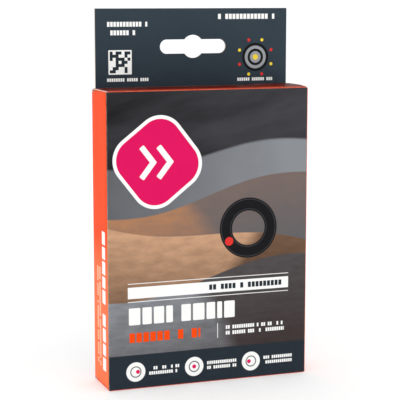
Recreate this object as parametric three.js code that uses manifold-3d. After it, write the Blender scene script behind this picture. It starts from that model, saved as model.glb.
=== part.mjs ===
// A hanging retail carton: a folding box of coated board with a tuck lid and a two-ply hang header.
// Millimetres, +Z up, the printed front towards -Y, the origin under the middle of the box.

import * as THREE from "three";
import { mergeVertices } from "three/addons/utils/BufferGeometryUtils.js";
import Module from "manifold-3d";

// Board, and how it folds and stacks
const board = 0.5;
const creaseRadius = 0.9;
const glueLine = 0.05;
const seam = 0.05;
const flapStackGap = 0.1;

// Box, outside
const boxWidth = 96.5;
const boxDepth = 23.5;
const boxHeight = 135;

// Hang header, with a standard euro slot
const headerHeight = 35.6;
const headerInset = 1.6;
const slotWidth = 32;
const slotHeight = 6.5;
const slotHoleRadius = 5.3;
const slotCentreHeight = 18.2;

// Tuck ends, alike at the top and the bottom
const lidSideGap = 0.6;
const lidRearGap = 0.15;
const tuckLength = 13;
const tuckSideGap = 1.4;
const tuckCornerRadius = 5;
const dustFlapLength = 24;
const dustFlapFrontGap = 0.3;
const dustFlapRearGap = 3.4;
const dustFlapTaper = 3;

// Glued side seam
const glueFlapWidth = 12;
const glueFlapTaper = 4;
const glueFlapEndGap = 1.5;

// Facets of curved faces
const foldFacets = 5;
const slotFacets = 12;
const cornerFacets = 6;
const mergeDistance = 1e-4;

// Places that several pieces share
const halfWidth = boxWidth / 2;
const halfDepth = boxDepth / 2;
const headerThickness = 2 * board + glueLine;
const headerWidth = boxWidth - 2 * headerInset;
const lidRear = halfDepth - headerThickness - lidRearGap;
const dustFlapTop = boxHeight - board - flapStackGap;
const sideTop = dustFlapTop - creaseRadius;
const sideBottom = boxHeight - sideTop;
const sideHeight = sideTop - sideBottom;

const quarterTurn = Math.PI / 2;

const wasm = await Module();
wasm.setup();

function printed(color, roughness) {
  return new THREE.MeshStandardMaterial({ color, roughness, metalness: 0 });
}

const frontPrint = printed(0x55565a, 0.55);
const sidePrint = printed(0xf8622f, 0.55);
const headerPrint = printed(0x343c45, 0.55);
const plainBoard = printed(0xe6e2d8, 0.85);

function toSolid(geometry) {
  const bare = geometry.clone();
  bare.deleteAttribute("normal");
  bare.deleteAttribute("uv");
  const merged = mergeVertices(bare, mergeDistance);
  return new wasm.Manifold(new wasm.Mesh({
    numProp: 3,
    vertProperties: merged.attributes.position.array,
    triVerts: new Uint32Array(merged.index.array),
  }));
}

function toGeometry(solid) {
  const mesh = solid.getMesh();
  const geometry = new THREE.BufferGeometry();
  geometry.setAttribute("position", new THREE.BufferAttribute(mesh.vertProperties, 3));
  geometry.setIndex(new THREE.BufferAttribute(mesh.triVerts, 1));
  geometry.computeVertexNormals();
  return geometry;
}

// A section of board across its creases, traced along its outer face from (x, y).
// The board's thickness lies to the right of the heading, and each crease turns right.
function foldedSection(x, y, heading, steps) {
  const outer = [];
  const inner = [];
  const place = new THREE.Vector2(x, y);
  let angle = heading;

  function inward(distance) {
    const side = angle - quarterTurn;
    return new THREE.Vector2(Math.cos(side), Math.sin(side)).multiplyScalar(distance);
  }

  function mark() {
    outer.push(place.clone());
    inner.unshift(place.clone().add(inward(board)));
  }

  mark();
  for (const step of steps) {
    if (step.run !== undefined) {
      place.x += step.run * Math.cos(angle);
      place.y += step.run * Math.sin(angle);
      mark();
      continue;
    }
    const centre = place.clone().add(inward(creaseRadius));
    for (let facet = 0; facet < foldFacets; facet += 1) {
      angle -= step.crease / foldFacets;
      place.copy(centre).sub(inward(creaseRadius));
      mark();
    }
  }
  return new THREE.Shape([...outer, ...inner]);
}

const run = (length) => ({ run: length });
const crease = { crease: quarterTurn };

function extrude(shape, depth, curveSegments = slotFacets) {
  return new THREE.ExtrudeGeometry(shape, { depth, curveSegments, bevelEnabled: false });
}

// The three ways a flat shape stands in the carton: across X, across Y or across Z
function acrossX(name, geometry, material, x = 0) {
  const mesh = named(name, geometry, material);
  mesh.rotation.set(quarterTurn, quarterTurn, 0);
  mesh.position.x = x;
  return mesh;
}

function acrossY(name, geometry, material, y = 0) {
  const mesh = named(name, geometry, material);
  mesh.rotation.x = quarterTurn;
  mesh.position.y = y;
  return mesh;
}

function acrossZ(name, geometry, material, z = 0) {
  const mesh = named(name, geometry, material);
  mesh.position.z = z;
  return mesh;
}

function named(name, geometry, material) {
  const mesh = new THREE.Mesh(geometry, material);
  mesh.name = name;
  return mesh;
}

// The front wall turns over at the top and the bottom, where the two end panels hinge
function frontWall() {
  const width = boxWidth - 2 * creaseRadius - 2 * seam;
  const section = foldedSection(
    -halfDepth + creaseRadius,
    0,
    Math.PI,
    [crease, run(boxHeight - 2 * creaseRadius), crease],
  );
  return acrossX("front_wall", extrude(section, width), frontPrint, -width / 2);
}

// A side wall carries the upright creases that turn into the front and the back
function sideWall(name, turn) {
  const section = foldedSection(
    -halfWidth + creaseRadius,
    -halfDepth,
    Math.PI,
    [crease, run(boxDepth - 2 * creaseRadius), crease],
  );
  const mesh = acrossZ(name, extrude(section, sideHeight), sidePrint, sideBottom);
  mesh.rotation.z = turn;
  return mesh;
}

function backWall() {
  const width = boxWidth - 2 * creaseRadius - 2 * seam;
  const outline = new THREE.Shape();
  outline.moveTo(-width / 2, 0);
  outline.lineTo(width / 2, 0);
  outline.lineTo(width / 2, boxHeight);
  outline.lineTo(-width / 2, boxHeight);
  outline.closePath();
  return acrossY("back_wall", extrude(outline, board), sidePrint, halfDepth);
}

// The flap that closes the sleeve is glued inside the right wall, next to the back
function glueFlap() {
  const rear = halfDepth - board - creaseRadius;
  const front = rear - glueFlapWidth;
  const low = sideBottom + glueFlapEndGap;
  const high = sideTop - glueFlapEndGap;
  const outline = new THREE.Shape();
  outline.moveTo(rear, low);
  outline.lineTo(rear, high);
  outline.lineTo(front, high - glueFlapTaper);
  outline.lineTo(front, low + glueFlapTaper);
  outline.closePath();
  return acrossX("glue_flap", extrude(outline, board), plainBoard, halfWidth - 2 * board - glueLine);
}

// A euro slot: a stadium with a round hole through its middle
function euroSlot() {
  const endRadius = slotHeight / 2;
  const endX = slotWidth / 2 - endRadius;
  const holeAngle = Math.asin(endRadius / slotHoleRadius);
  const outline = new THREE.Shape();
  outline.absarc(endX, 0, endRadius, -quarterTurn, quarterTurn);
  outline.absarc(0, 0, slotHoleRadius, holeAngle, Math.PI - holeAngle);
  outline.absarc(-endX, 0, endRadius, quarterTurn, 3 * quarterTurn);
  outline.absarc(0, 0, slotHoleRadius, Math.PI + holeAngle, 2 * Math.PI - holeAngle);
  outline.closePath();
  return outline;
}

// The header is the back board folded over at the top and glued to itself
function header() {
  const foldRadius = headerThickness / 2;
  const section = new THREE.Shape();
  section.moveTo(halfDepth, boxHeight + seam);
  section.lineTo(halfDepth, boxHeight + headerHeight - foldRadius);
  section.absarc(halfDepth - foldRadius, boxHeight + headerHeight - foldRadius, foldRadius, 0, Math.PI);
  section.lineTo(halfDepth - headerThickness, boxHeight + seam);
  section.closePath();
  const plies = extrude(section, headerWidth, cornerFacets);
  plies.rotateX(quarterTurn);
  plies.rotateZ(quarterTurn);
  plies.translate(-headerWidth / 2, 0, 0);

  const cutter = extrude(euroSlot(), 3 * headerThickness);
  cutter.rotateX(quarterTurn);
  cutter.translate(0, halfDepth + headerThickness, boxHeight + slotCentreHeight);
  const pierced = toSolid(plies).subtract(toSolid(cutter));
  return named("header", toGeometry(pierced), headerPrint);
}

// The end panel runs from the front crease to the crease that its tuck flap hangs from
function endPanel(name) {
  const length = lidRear - creaseRadius - seam - (-halfDepth + creaseRadius);
  const width = boxWidth - 2 * lidSideGap;
  const section = foldedSection(
    -halfDepth + creaseRadius + seam,
    boxHeight,
    0,
    [run(length), crease],
  );
  return acrossX(name, extrude(section, width), sidePrint, -width / 2);
}

function tuckFlap(name) {
  const halfFlap = halfWidth - board - tuckSideGap;
  const high = boxHeight - creaseRadius - seam;
  const low = high - tuckLength;
  const outline = new THREE.Shape();
  outline.moveTo(-halfFlap, high);
  outline.lineTo(-halfFlap, low + tuckCornerRadius);
  outline.absarc(-halfFlap + tuckCornerRadius, low + tuckCornerRadius, tuckCornerRadius,
    Math.PI, 3 * quarterTurn);
  outline.lineTo(halfFlap - tuckCornerRadius, low);
  outline.absarc(halfFlap - tuckCornerRadius, low + tuckCornerRadius, tuckCornerRadius,
    -quarterTurn, 0);
  outline.lineTo(halfFlap, high);
  outline.closePath();
  return acrossY(name, extrude(outline, board, cornerFacets), sidePrint, lidRear);
}

// A dust flap folds in from a side wall, and its end is cut back to let the tuck flap pass
function dustFlap(name, onLeft) {
  const front = -halfDepth + board + dustFlapFrontGap;
  const rear = halfDepth - board - dustFlapRearGap;
  const flat = dustFlapLength - creaseRadius;
  const section = onLeft
    ? foldedSection(-halfWidth, sideTop + seam, quarterTurn, [crease, run(flat)])
    : foldedSection(halfWidth - dustFlapLength, dustFlapTop + seam, 0, [run(flat), crease]);
  const strip = extrude(section, rear - front);
  strip.rotateX(quarterTurn);
  strip.translate(0, rear, 0);

  const toMiddle = onLeft ? 1 : -1;
  const root = -toMiddle * (halfWidth + board);
  const shoulder = -toMiddle * (halfWidth - creaseRadius);
  const tip = -toMiddle * (halfWidth - dustFlapLength - board);
  const plan = new THREE.Shape();
  plan.moveTo(root, front - board);
  plan.lineTo(shoulder, front - board);
  plan.lineTo(tip, front + dustFlapTaper);
  plan.lineTo(tip, rear - dustFlapTaper);
  plan.lineTo(shoulder, rear + board);
  plan.lineTo(root, rear + board);
  plan.closePath();
  const trim = extrude(plan, 4 * creaseRadius);
  trim.translate(0, 0, sideTop - creaseRadius);
  const trimmed = toSolid(strip).intersect(toSolid(trim));
  return named(name, toGeometry(trimmed), sidePrint);
}

function tuckEnd(panelName, end, firstSide, secondSide) {
  const group = new THREE.Group();
  group.add(
    endPanel(panelName),
    tuckFlap(`${end}_tuck_flap`),
    dustFlap(`${end}_dust_flap_${firstSide}`, true),
    dustFlap(`${end}_dust_flap_${secondSide}`, false),
  );
  return group;
}

const carton = new THREE.Group();
carton.add(
  frontWall(),
  sideWall("left_wall", 0),
  sideWall("right_wall", Math.PI),
  backWall(),
  glueFlap(),
  header(),
  tuckEnd("top_lid", "top", "left", "right"),
);

// The bottom end is the top end turned over
const bottom = tuckEnd("bottom_panel", "bottom", "right", "left");
bottom.rotation.y = Math.PI;
bottom.position.z = boxHeight;
carton.add(bottom);

export default carton;
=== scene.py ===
"""A hanging retail carton of printed board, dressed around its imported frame."""

from __future__ import annotations

import logging
import math
from collections.abc import Callable, Iterable
from dataclasses import dataclass, field
from enum import Enum
from functools import partial

import bmesh
import bpy
from mathutils import Matrix, Vector


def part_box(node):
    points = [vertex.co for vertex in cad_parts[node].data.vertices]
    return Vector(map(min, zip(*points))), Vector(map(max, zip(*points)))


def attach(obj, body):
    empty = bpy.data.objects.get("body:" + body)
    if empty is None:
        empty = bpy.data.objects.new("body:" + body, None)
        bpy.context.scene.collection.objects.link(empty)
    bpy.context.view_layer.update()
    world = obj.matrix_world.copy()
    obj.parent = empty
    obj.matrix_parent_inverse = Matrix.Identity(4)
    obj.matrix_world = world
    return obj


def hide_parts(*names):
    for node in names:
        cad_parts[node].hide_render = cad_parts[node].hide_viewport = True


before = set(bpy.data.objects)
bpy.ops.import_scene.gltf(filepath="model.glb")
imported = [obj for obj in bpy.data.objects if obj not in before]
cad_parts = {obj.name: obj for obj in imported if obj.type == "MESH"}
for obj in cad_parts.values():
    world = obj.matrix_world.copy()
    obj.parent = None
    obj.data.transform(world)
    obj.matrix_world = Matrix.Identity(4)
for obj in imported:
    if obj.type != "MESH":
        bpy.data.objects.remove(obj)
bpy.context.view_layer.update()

LOG = logging.getLogger("carton")

# Lengths of the board in metres, and turns.
MM = 0.001
QUARTER = math.pi / 2
NEAR = 1e-6
CREASE_STEPS = 6
FUZZ_HEIGHT = 0.03 * MM

# Lengths of the print in millimetres, and its tones.
BLOCK_CORNER = 0.5
FOOTER = ((0.0, 7.0), (120.0, 17.8))
BREADTH = 78.0
NOISE_SPREAD = (0.3, 0.7)
PURE_WHITE = (1.0, 1.0, 1.0, 1.0)


class Part(Enum):
    """What a pick in edit mode selects."""

    POINTS = "VERT"
    EDGES = "EDGE"
    FACES = "FACE"


class Body(Enum):
    """The rigid bodies that the pieces ride on."""

    CARTON = "carton"
    LID = "lid"
    TUCK = "tuck_flap"


@dataclass(frozen=True)
class Grain:
    """A layer of soft random variation.

    Attributes:
        scale: How many clouds fit in a millimetre.
        detail: How many finer layers lie on them.
        roughness: How strong the finer layers are.
    """

    scale: float
    detail: float = 3.0
    roughness: float = 0.5


@dataclass(frozen=True)
class CartonSizes:
    """The carton's sizes in metres, read from the frame's nodes.

    Attributes:
        half_width: Half of the box's outside width.
        front: Place of the front face along Y.
        back: Place of the back face along Y.
        height: Height of the box without its header.
        crease: Outside radius of a folded crease.
        board: Thickness of the board.
        side_low: Where the side walls begin above the floor.
        side_high: Where the side walls end below the lid.
    """

    half_width: float
    front: float
    back: float
    height: float
    crease: float
    board: float
    side_low: float
    side_high: float

    @classmethod
    def from_frame(cls) -> CartonSizes:
        """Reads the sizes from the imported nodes.

        Returns:
            The sizes.
        """
        side_low, side_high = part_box("left_wall")
        wall_low, wall_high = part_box("front_wall")
        back_low, back_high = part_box("back_wall")
        return cls(
            half_width=-side_low[0],
            front=wall_low[1],
            back=back_high[1],
            height=wall_high[2],
            crease=side_high[0] - side_low[0],
            board=back_high[1] - back_low[1],
            side_low=side_low[2],
            side_high=side_high[2],
        )


def hex_colour(code: str) -> tuple[float, float, float, float]:
    """Turns a printed colour's code into a linear colour.

    Args:
        code: Six hexadecimal digits, red first.

    Returns:
        The linear red, green, blue and an alpha of one.
    """

    def linear(channel: int) -> float:
        """Undoes the display curve of one channel."""
        value = channel / 255
        return value / 12.92 if value <= 0.04045 else ((value + 0.055) / 1.055) ** 2.4

    red, green, blue = (linear(int(code[at : at + 2], 16)) for at in (0, 2, 4))
    return red, green, blue, 1.0


class Ink(Enum):
    """The printed colours."""

    ORANGE = "f04a10"
    ORANGE_LIGHT = "f97a4a"
    # Deep red of the painted shade on the lid and the ends.
    DEEP_RED = "5c170e"
    SLATE = "272f37"
    SLATE_LIGHT = "343f48"
    WHITE = "f4f4f2"
    CREAM = "f9c3a4"
    MAGENTA = "d9145c"
    CHARCOAL = "18181a"
    CHARCOAL_LIGHT = "434347"
    BACKDROP_DARK = "5b5d61"
    BACKDROP_LIGHT = "85888d"
    UMBER = "2d1d17"
    TAN = "a87a5a"
    TAN_LIGHT = "c49a7a"
    RED = "d8342f"
    YELLOW = "f0d53c"
    GREY = "9a9ea2"
    BOARD = "e4ddd2"
    BOARD_GREY = "b3a698"

    @property
    def linear(self) -> tuple[float, float, float, float]:
        """The colour as a linear value."""
        return hex_colour(self.value)


Pair = tuple[float, float]
Triple = tuple[float, float, float]
Socket = bpy.types.NodeSocket
Material = bpy.types.Material
Value = float | tuple[float, ...] | Ink | Socket
Test = Callable[..., bool]


class Workpiece:
    """One mesh on the bench, shaped in edit mode by the places of its parts."""

    def __init__(self, name: str) -> None:
        """Takes the primitive that was just added.

        Args:
            name: Name of the finished piece.
        """
        self.obj = bpy.context.object
        self.obj.name = name
        self.obj.data.name = name

    @classmethod
    def block(cls, name: str, low: Iterable[float], high: Iterable[float]) -> Workpiece:
        """Starts from a cube that fills a box.

        Args:
            name: Name of the finished piece.
            low: The box's lowest corner.
            high: The box's highest corner.

        Returns:
            The workpiece, with its place in its mesh.
        """
        bpy.ops.object.select_all(action="DESELECT")
        lowest, highest = Vector(low), Vector(high)
        bpy.ops.mesh.primitive_cube_add(
            size=1, location=(lowest + highest) / 2, scale=highest - lowest
        )
        bpy.ops.object.transform_apply(location=True, rotation=True, scale=True)
        return cls(name)

    @classmethod
    def sheet(
        cls,
        name: str,
        centre: Iterable[float],
        size: Pair,
        turn: Triple = (0, 0, 0),
    ) -> Workpiece:
        """Starts from a flat sheet.

        Args:
            name: Name of the finished piece.
            centre: Middle of the sheet.
            size: Width and length of the sheet before it is turned.
            turn: Rotation from lying flat, face up.

        Returns:
            The workpiece, with its place in its mesh.
        """
        bpy.ops.object.select_all(action="DESELECT")
        bpy.ops.mesh.primitive_plane_add(size=1, location=tuple(centre), rotation=turn)
        bpy.context.object.scale = (size[0], size[1], 1)
        bpy.ops.object.transform_apply(location=True, rotation=True, scale=True)
        return cls(name)

    def activate(self) -> None:
        """Makes this piece the only selected one."""
        bpy.ops.object.select_all(action="DESELECT")
        self.obj.select_set(True)
        bpy.context.view_layer.objects.active = self.obj

    def edit(self) -> None:
        """Opens the mesh with nothing selected."""
        self.activate()
        bpy.ops.object.mode_set(mode="EDIT")
        bpy.ops.mesh.select_all(action="DESELECT")

    def close(self) -> None:
        """Leaves edit mode."""
        bpy.ops.object.mode_set(mode="OBJECT")

    def pick(self, kind: Part, test: Test) -> int:
        """Selects the parts of the open mesh that pass a test.

        Args:
            kind: Points, edges or faces.
            test: For points and faces, a test of the centre and the normal. For edges, of both ends.

        Returns:
            How many were selected.
        """
        bpy.ops.mesh.select_all(action="DESELECT")
        bpy.ops.mesh.select_mode(type=kind.value)
        mesh = bmesh.from_edit_mesh(self.obj.data)
        mesh.normal_update()
        if kind is Part.POINTS:
            chosen = [v for v in mesh.verts if test(v.co, v.normal)]
        elif kind is Part.EDGES:
            chosen = [e for e in mesh.edges if test(e.verts[0].co, e.verts[1].co)]
        else:
            chosen = [f for f in mesh.faces if test(f.calc_center_median(), f.normal)]
        for part in chosen:
            part.select_set(True)
        mesh.select_flush_mode()
        bmesh.update_edit_mesh(self.obj.data)
        return len(chosen)

    def slice(self, axis: int, places: Iterable[float]) -> None:
        """Cuts the whole open mesh by planes across an axis, without parting it.

        Args:
            axis: 0, 1 or 2 for X, Y or Z.
            places: Where the planes cross the axis.
        """
        for place in places:
            point = Vector((0, 0, 0))
            normal = Vector((0, 0, 0))
            point[axis] = place
            normal[axis] = 1
            bpy.ops.mesh.select_all(action="SELECT")
            bpy.ops.mesh.bisect(plane_co=point, plane_no=normal)

    def bow(self, move: Vector, reach: float, test: Test) -> None:
        """Pushes the middle of a panel out, fading towards its edges.

        Args:
            move: How far the middle moves.
            reach: How far the push is felt.
            test: Picks the points in the middle.
        """
        self.pick(Part.POINTS, test)
        bpy.ops.transform.translate(
            value=move,
            use_proportional_edit=True,
            use_proportional_connected=True,
            proportional_edit_falloff="SMOOTH",
            proportional_size=reach,
        )

    def roll(self, centre: Iterable[float], axis: Iterable[float], angle: float = QUARTER) -> None:
        """Rolls the selected edges clockwise about an axis through the middle of a crease."""
        bpy.ops.mesh.spin(steps=CREASE_STEPS, angle=angle, center=tuple(centre), axis=tuple(axis))

    def extend(self, move: Iterable[float]) -> None:
        """Extrudes the selected edges along a straight line."""
        bpy.ops.mesh.extrude_region_move(TRANSFORM_OT_translate={"value": tuple(move)})

    def weld(self) -> None:
        """Joins points that lie together, and turns every face outwards."""
        bpy.ops.mesh.select_all(action="SELECT")
        bpy.ops.mesh.remove_doubles(threshold=NEAR)
        bpy.ops.mesh.normals_make_consistent(inside=False)

    def thicken(self, thickness: float, slots: int) -> None:
        """Gives the sheet its thickness, inwards from its printed face.

        Args:
            thickness: Thickness of the board.
            slots: How many printed slots come before the plain face's slots and the rim's.
        """
        self.activate()
        wall = self.obj.modifiers.new("board", "SOLIDIFY")
        wall.thickness = thickness
        wall.offset = -1
        wall.use_even_offset = True
        wall.use_rim = True
        wall.material_offset = slots
        wall.material_offset_rim = 2 * slots
        bpy.ops.object.modifier_apply(modifier=wall.name)

    def dress(self, finishes: Iterable[Material]) -> None:
        """Fills the material slots in order.

        Args:
            finishes: One finish for each slot.
        """
        self.obj.data.materials.clear()
        for finish in finishes:
            self.obj.data.materials.append(finish)

    def assign(self, slot: int, test: Test) -> None:
        """Gives the faces that pass a test a material slot.

        Args:
            slot: Index of the slot.
            test: A test of a face's centre and normal.
        """
        for polygon in self.obj.data.polygons:
            if test(polygon.center, polygon.normal):
                polygon.material_index = slot

    def smooth(self, degrees: float = 30) -> None:
        """Shades the piece smoothly, with cut edges kept sharp."""
        self.activate()
        bpy.ops.object.shade_smooth_by_angle(angle=math.radians(degrees))

    def ride(self, body: Body, slot: str, *nodes: str) -> None:
        """Puts the finished piece on its body and in its nodes' place.

        Args:
            body: The body that it moves with.
            slot: The record's material slot that it stands for; not used.
            nodes: The frame nodes that it replaces.
        """
        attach(self.obj, body.value)
        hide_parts(*nodes)
        LOG.info("%s: %d faces", self.obj.name, len(self.obj.data.polygons))


class Graph:
    """A material's node tree, with one short method for each step of a pattern.

    Attributes:
        INPUTS: The shader's inputs that a finish fills, by plain names.
        LENGTHS: The steps of arithmetic on places that give a number.
    """

    INPUTS = {
        "colour": "Base Color",
        "roughness": "Roughness",
        "gloss": "Specular IOR Level",
        "index": "IOR",
        "light": "Emission Color",
        "glow": "Emission Strength",
        "relief": "Normal",
    }
    LENGTHS = ("LENGTH", "DISTANCE")

    def __init__(self, name: str) -> None:
        """Makes an empty material.

        Args:
            name: Name of the material.
        """
        self.material = bpy.data.materials.new(name)
        self.material.use_nodes = True
        self.nodes = self.material.node_tree.nodes
        self.links = self.material.node_tree.links
        self.nodes.clear()
        self.shader = self.nodes.new("ShaderNodeBsdfPrincipled")
        output = self.nodes.new("ShaderNodeOutputMaterial")
        self.links.new(self.shader.outputs[0], output.inputs[0])
        metres = self.nodes.new("ShaderNodeTexCoord").outputs["Object"]
        self.place = self.vector("MULTIPLY", metres, (1 / MM, 1 / MM, 1 / MM))

    def feed(self, socket: Socket, value: Value) -> None:
        """Links a socket, or sets its value.

        Args:
            socket: The input that is filled.
            value: What it gets.
        """
        if isinstance(value, Socket):
            self.links.new(value, socket)
        elif isinstance(value, Ink):
            socket.default_value = value.linear[: len(socket.default_value)]
        else:
            socket.default_value = value

    def add(
        self, kind: str, inputs: dict[int | str, Value], **options: str | bool
    ) -> bpy.types.Node:
        """Adds a node to the tree.

        Args:
            kind: Its kind, without the prefix that all have.
            inputs: What each input gets, by its number or its name.
            **options: What its options are set to.

        Returns:
            The node.
        """
        node = self.nodes.new(f"ShaderNode{kind}")
        for name, option in options.items():
            setattr(node, name, option)
        for at, value in inputs.items():
            self.feed(node.inputs[at], value)
        return node

    def math(self, operation: str, *values: Value) -> Socket:
        """One step of arithmetic on numbers or sockets."""
        return self.add("Math", dict(enumerate(values)), operation=operation).outputs[0]

    def product(self, first: Value, *factors: Value) -> Socket:
        """Several numbers multiplied.

        Args:
            first: A number or a socket.
            *factors: What it is multiplied by.

        Returns:
            The socket with the result.
        """
        for factor in factors:
            first = self.math("MULTIPLY", first, factor)
        return first

    def vector(self, operation: str, *places: Value) -> Socket:
        """One step of arithmetic on places, with a number as the result for a length."""
        node = self.add("VectorMath", dict(enumerate(places)), operation=operation)
        return node.outputs["Value" if operation in self.LENGTHS else "Vector"]

    def split(self, place: Value) -> tuple[Socket, Socket, Socket]:
        """Parts a place along the three axes."""
        return tuple(self.add("SeparateXYZ", {0: place}).outputs)

    def join(self, across: Value, up: Value, depth: Value = 0.0) -> Socket:
        """Puts a place together from its three parts."""
        return self.add("CombineXYZ", {0: across, 1: up, 2: depth}).outputs[0]

    def turned(self, place: Value, centre: Pair, degrees: float) -> Socket:
        """Sees a place from axes that are moved to a centre and turned.

        Args:
            place: The place on a face.
            centre: Where the axes start.
            degrees: How far they are turned.

        Returns:
            The socket with the place.
        """
        moved = self.vector("SUBTRACT", place, (*centre, 0.0))
        inputs = {"Vector": moved, "Angle": -math.radians(degrees)}
        return self.add("VectorRotate", inputs, rotation_type="Z_AXIS").outputs[0]

    def ramp(
        self, value: Value, start: Value, end: Value, low: Value = 0.0, high: Value = 1.0
    ) -> Socket:
        """Carries a number from the range start to end to the range low to high, and no further."""
        inputs = dict(enumerate((value, start, end, low, high)))
        return self.add("MapRange", inputs, clamp=True).outputs[0]

    def noise(self, place: Value, grain: Grain) -> Socket:
        """Makes soft random variation.

        Args:
            place: The place that it depends on.
            grain: How fine and how rough it is.

        Returns:
            The socket with the variation, from nought to one.
        """
        inputs = {
            "Vector": place,
            "Scale": grain.scale,
            "Detail": grain.detail,
            "Roughness": grain.roughness,
        }
        return self.add("TexNoise", inputs).outputs["Fac"]

    def vary(self, noise: Socket, low: float, high: float) -> Socket:
        """Carries the values that a noise mostly takes to a range, and holds them at its ends."""
        return self.ramp(noise, *NOISE_SPREAD, low, high)

    def speck(self, place: Value) -> Socket:
        """Draws a random number from nought to one for each whole place."""
        node = self.add("TexWhiteNoise", {"Vector": place}, noise_dimensions="3D")
        return node.outputs["Value"]

    def mix(self, share: Value, first: Value, second: Value) -> Socket:
        """Lays the second colour over the first, as strongly as the share says."""
        return self.add("Mix", {0: share, 6: first, 7: second}, data_type="RGBA").outputs[2]

    def bump(
        self, height: Socket, distance: float, strength: float, normal: Socket | None = None
    ) -> Socket:
        """Raises a surface by a height.

        Args:
            height: The height, from nought to one.
            distance: How far the highest part stands up.
            strength: How much of it shows.
            normal: A relief that this one lies on.

        Returns:
            The socket with the new normal.
        """
        inputs = {"Height": height, "Distance": distance, "Strength": strength}
        if normal is not None:
            inputs["Normal"] = normal
        return self.add("Bump", inputs).outputs[0]

    def finish(self, **inputs: Value) -> Material:
        """Puts the finish together.

        Args:
            **inputs: What the shader gets, by the names in INPUTS.

        Returns:
            The finished material.
        """
        for name, value in inputs.items():
            self.feed(self.shader.inputs[self.INPUTS[name]], value)
        return self.material


class Artwork:
    """Flat printed shapes, laid over each other on one face of the carton.

    Attributes:
        EDGE: Half of how soft an edge is, in millimetres.
        BARE: Share of the squares in a scatter that stay bare.
        MISSING: Share of the letters in a line that are left out.
        LETTER_BODY: Share of a letter's width that is inked.
        LINE_BODY: Share of a row's height that is inked.
        DRAW: Makes each block of lines leave out other letters.
    """

    EDGE = 0.06
    BARE = 0.5
    MISSING = 0.17
    LETTER_BODY = 0.78
    LINE_BODY = 0.65
    DRAW = 7.3

    def __init__(self, graph: Graph, place: Socket, ground: Value = Ink.WHITE) -> None:
        """Starts from a ground colour.

        Args:
            graph: The material that is being made.
            place: Place on the face in millimetres, to the right and up.
            ground: Colour or socket under everything.
        """
        self.graph = graph
        self.place = place
        self.colour = ground

    def lay(self, mask: Socket, ink: Value) -> None:
        """Prints a colour through a mask."""
        self.colour = self.graph.mix(mask, self.colour, ink)

    def seen_from(self, start: Pair) -> Socket:
        """The place on the face, counted from another start."""
        return self.graph.vector("SUBTRACT", self.place, (*start, 0.0))

    def disc(self, centre: Pair, radius: float) -> Socket:
        """Mask of a round spot."""
        away = self.graph.vector("DISTANCE", self.place, (*centre, 0.0))
        return self.graph.ramp(away, radius + self.EDGE, radius - self.EDGE)

    def ring(self, centre: Pair, radius: float, width: float, edge: float = EDGE) -> Socket:
        """Mask of a circle drawn with a line.

        Args:
            centre: Middle of the circle.
            radius: Radius of the line's middle.
            width: Width of the line.
            edge: How soft its edges are.

        Returns:
            The socket with the mask.
        """
        away = self.graph.vector("DISTANCE", self.place, (*centre, 0.0))
        off = self.graph.math("ABSOLUTE", self.graph.math("SUBTRACT", away, radius))
        return self.graph.ramp(off, width / 2 + edge, width / 2 - edge)

    def bar(self, centre: Pair, size: Pair, corner: float = 0.1, degrees: float = 0.0) -> Socket:
        """Mask of a straight bar with round corners.

        Args:
            centre: Middle of the bar.
            size: Width and height.
            corner: Radius of its corners.
            degrees: How far it is turned.

        Returns:
            The socket with the mask.
        """
        graph = self.graph
        if degrees:
            local = graph.turned(self.place, centre, degrees)
        else:
            local = self.seen_from(centre)
        inner = (size[0] / 2 - corner, size[1] / 2 - corner, 1.0)
        past = graph.vector("SUBTRACT", graph.vector("ABSOLUTE", local), inner)
        off = graph.vector("LENGTH", graph.vector("MAXIMUM", past, (0.0, 0.0, 0.0)))
        return graph.ramp(off, corner + self.EDGE, corner - self.EDGE)

    def patch(self, corner: Pair, size: Pair) -> Socket:
        """Mask of a bar that is placed by its lower left corner."""
        return self.bar((corner[0] + size[0] / 2, corner[1] + size[1] / 2), size)

    def scatter(self, corner: Pair, size: Pair, cell: float) -> Socket:
        """Mask of small squares strewn over a patch.

        Args:
            corner: Lower left corner of the patch.
            size: Width and height of the patch.
            cell: Width of one square.

        Returns:
            The socket with the mask.
        """
        graph = self.graph
        cells = graph.vector("DIVIDE", self.seen_from(corner), (cell, cell, 1.0))
        drawn = graph.speck(graph.vector("FLOOR", cells))
        filled = graph.math("GREATER_THAN", drawn, self.BARE)
        return graph.product(filled, self.patch(corner, size))

    def lines(self, corner: Pair, size: Pair, rows: int, letter: float) -> Socket:
        """Mask of rows of short blocks that stand for lines of small print.

        Args:
            corner: Lower left corner of the block of lines.
            size: Width and height of the block.
            rows: Number of rows.
            letter: Width that one letter takes.

        Returns:
            The socket with the mask.
        """
        graph = self.graph
        pitch = size[1] / (rows - 1 + self.LINE_BODY)
        across, up, _ = graph.split(self.seen_from(corner))
        column = graph.math("DIVIDE", across, letter)
        row = graph.math("DIVIDE", up, pitch)
        whole = (graph.math("FLOOR", column), graph.math("FLOOR", row))
        start = corner[0] + self.DRAW * corner[1]
        present = graph.math("GREATER_THAN", graph.speck(graph.join(*whole, start)), self.MISSING)
        body = graph.math("LESS_THAN", graph.math("FRACT", column), self.LETTER_BODY)
        height = graph.math("LESS_THAN", graph.math("FRACT", row), self.LINE_BODY)
        return graph.product(present, body, height, self.patch(corner, size))


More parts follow.
